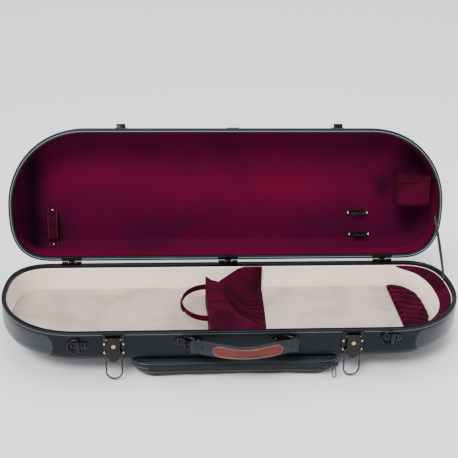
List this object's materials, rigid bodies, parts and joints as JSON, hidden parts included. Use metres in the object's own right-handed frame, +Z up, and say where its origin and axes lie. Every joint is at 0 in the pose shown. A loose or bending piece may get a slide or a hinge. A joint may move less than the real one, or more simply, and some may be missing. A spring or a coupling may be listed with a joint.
{
  "type": "violin case",
  "caption": "Half-moon hard violin case, standing open, with a velvet lid, a neck cradle, draw latches, a leather handle and a music pouch below.",
  "frame": {"origin": "centre of the open case's bounding box, on the ground under the music pouch", "axes": "+X along the case towards the body end, -Y towards the handle side, +Z up"},
  "size_m": [0.79, 0.37, 0.3377],
  "materials": {
    "shell": "dark slate laminate with a woven look",
    "rail": "satin slate edge profile",
    "hardware": "glossy black plated",
    "nickel": "polished",
    "brass": "polished",
    "velvet": "burgundy velvet",
    "cream": "cream brushed fabric over foam",
    "floor": "pale grey-beige velour",
    "leather": "slate grained leather",
    "inlay": "red-brown leather",
    "webbing": "dark grey webbing",
    "pouch": "dark grey nylon cloth"
  },
  "bodies": {
    "base": {"base_shell": "shell", "base_rail": "rail", "base_wall_lining": "cream", "base_floor_pad": "floor", "end_panel": "cream", "end_shoulder": "velvet", "end_pad": "velvet", "neck_cradle": "velvet", "cradle_back_wedge": "velvet", "cradle_strap": "velvet", "hinge_base_leaf_left": "hardware", "hinge_base_leaf_middle": "hardware", "hinge_base_leaf_right": "hardware", "hinge_pin_left": "nickel", "hinge_pin_middle": "nickel", "hinge_pin_right": "nickel", "latch_plate_left": "hardware", "latch_plate_right": "hardware", "latch_pin_left": "nickel", "latch_pin_right": "nickel", "strap_plate_left": "hardware", "strap_plate_right": "hardware", "handle_bracket_left": "hardware", "handle_bracket_right": "hardware", "music_pouch": "pouch", "zipper": "pouch", "stay_strap": "webbing"},
    "lid": {"lid_shell": "shell", "lid_rail": "rail", "lid_lining": "velvet", "hinge_lid_leaf_left": "hardware", "hinge_lid_leaf_middle": "hardware", "hinge_lid_leaf_right": "hardware", "bow_clip_plate_upper": "nickel", "bow_clip_plate_lower": "nickel", "bow_tip_loop": "velvet", "lid_pocket": "velvet", "latch_keeper_left": "hardware", "latch_keeper_right": "hardware", "lid_centre_plate": "hardware"},
    "bow_clip_upper": {"bow_clip_upper": "hardware"},
    "bow_clip_lower": {"bow_clip_lower": "hardware"},
    "pocket_flap": {"pocket_flap": "velvet"},
    "handle_ring_left": {"handle_ring_left": "hardware"},
    "handle_ring_right": {"handle_ring_right": "hardware"},
    "handle": {"handle_grip": "leather", "handle_inlay": "inlay"},
    "latch_lever_left": {"latch_lever_left": "hardware"},
    "lock_left": {"lock_cylinder_left": "brass"},
    "bail_left": {"bail_left": "hardware"},
    "strap_ring_left": {"strap_ring_left": "hardware"},
    "latch_lever_right": {"latch_lever_right": "hardware"},
    "lock_right": {"lock_cylinder_right": "brass"},
    "bail_right": {"bail_right": "hardware"},
    "strap_ring_right": {"strap_ring_right": "hardware"},
    "zip_slider_inner": {"zip_slider_inner": "nickel"},
    "zip_pull_inner": {"zip_pull_inner": "nickel"},
    "zip_slider_outer": {"zip_slider_outer": "nickel"},
    "zip_pull_outer": {"zip_pull_outer": "nickel"}
  },
  "joints": [
    {"name": "lid_hinge", "type": "hinge", "parent": "base", "child": "lid", "pos_m": [0, 0.1038, 0.08615], "axis": [1, 0, 0], "range_deg": [0, 97.3], "deforming": ["stay_strap"]},
    {"name": "bow_clip_upper_turn", "type": "hinge", "parent": "lid", "child": "bow_clip_upper", "pos_m": [0.2465, 0.16146, 0.1573], "axis": [0, -0.9919, 0.1271], "range_deg": [-90, 90]},
    {"name": "bow_clip_lower_turn", "type": "hinge", "parent": "lid", "child": "bow_clip_lower", "pos_m": [0.2515, 0.15599, 0.11465], "axis": [0, -0.9919, 0.1271], "range_deg": [-90, 90]},
    {"name": "pocket_flap_lift", "type": "hinge", "parent": "lid", "child": "pocket_flap", "pos_m": [0, 0.17007, 0.23715], "axis": [1, 0, 0], "range_deg": [-50, 0]},
    {"name": "latch_left_throw", "type": "hinge", "parent": "base", "child": "latch_lever_left", "pos_m": [-0.1975, -0.1497, 0.077], "axis": [1, 0, 0], "range_deg": [-78, 0]},
    {"name": "lock_left_turn", "type": "hinge", "parent": "latch_lever_left", "child": "lock_left", "pos_m": [-0.1975, -0.1526, 0.066], "axis": [0, 1, 0], "range_deg": [0, 90]},
    {"name": "bail_left_swing", "type": "hinge", "parent": "latch_lever_left", "child": "bail_left", "pos_m": [-0.1975, -0.1498, 0.052], "axis": [1, 0, 0], "range_deg": [-164, 0]},
    {"name": "latch_right_throw", "type": "hinge", "parent": "base", "child": "latch_lever_right", "pos_m": [0.189, -0.1497, 0.077], "axis": [1, 0, 0], "range_deg": [-78, 0]},
    {"name": "lock_right_turn", "type": "hinge", "parent": "latch_lever_right", "child": "lock_right", "pos_m": [0.189, -0.1526, 0.066], "axis": [0, 1, 0], "range_deg": [0, 90]},
    {"name": "bail_right_swing", "type": "hinge", "parent": "latch_lever_right", "child": "bail_right", "pos_m": [0.189, -0.1498, 0.052], "axis": [1, 0, 0], "range_deg": [-164, 0]},
    {"name": "strap_ring_left_swing", "type": "hinge", "parent": "base", "child": "strap_ring_left", "pos_m": [-0.254, -0.1478, 0.0635], "axis": [0, 0, 1], "range_deg": [0, 150]},
    {"name": "strap_ring_right_swing", "type": "hinge", "parent": "base", "child": "strap_ring_right", "pos_m": [0.253, -0.1478, 0.071], "axis": [0, 0, 1], "range_deg": [0, 150]},
    {"name": "handle_swing", "type": "hinge", "parent": "base", "child": "handle_ring_left", "pos_m": [-0.0845, -0.1478, 0.0695], "axis": [0, 0, 1], "range_deg": [-120, 0]},
    {"name": "handle_ring_right_swing", "type": "hinge", "parent": "base", "child": "handle_ring_right", "pos_m": [0.0745, -0.1478, 0.0695], "axis": [0, 0, 1], "range_deg": [-120, 0]},
    {"name": "handle_pivot", "type": "hinge", "parent": "handle_ring_left", "child": "handle", "pos_m": [-0.06891, -0.1568, 0.0695], "axis": [0, 0, 1], "range_deg": [0, 120]},
    {"name": "zip_inner_slide", "type": "slide", "parent": "base", "child": "zip_slider_inner", "axis": [1, 0, 0], "range_m": [-0.285, 0]},
    {"name": "zip_pull_inner_swing", "type": "hinge", "parent": "zip_slider_inner", "child": "zip_pull_inner", "pos_m": [0.146, -0.1517, 0.0255], "axis": [0, -1, 0], "range_deg": [-30, 128]},
    {"name": "zip_outer_slide", "type": "slide", "parent": "base", "child": "zip_slider_outer", "axis": [1, 0, 0], "range_m": [0, 0.003]},
    {"name": "zip_pull_outer_swing", "type": "hinge", "parent": "zip_slider_outer", "child": "zip_pull_outer", "pos_m": [0.1585, -0.1517, 0.0255], "axis": [0, -1, 0], "range_deg": [-50, 50]}
  ],
  "couplings": [
    {"joint": "handle_ring_right_swing", "follows": "handle_swing", "ratio": 1},
    {"joint": "handle_pivot", "follows": "handle_swing", "ratio": -1}
  ]
}
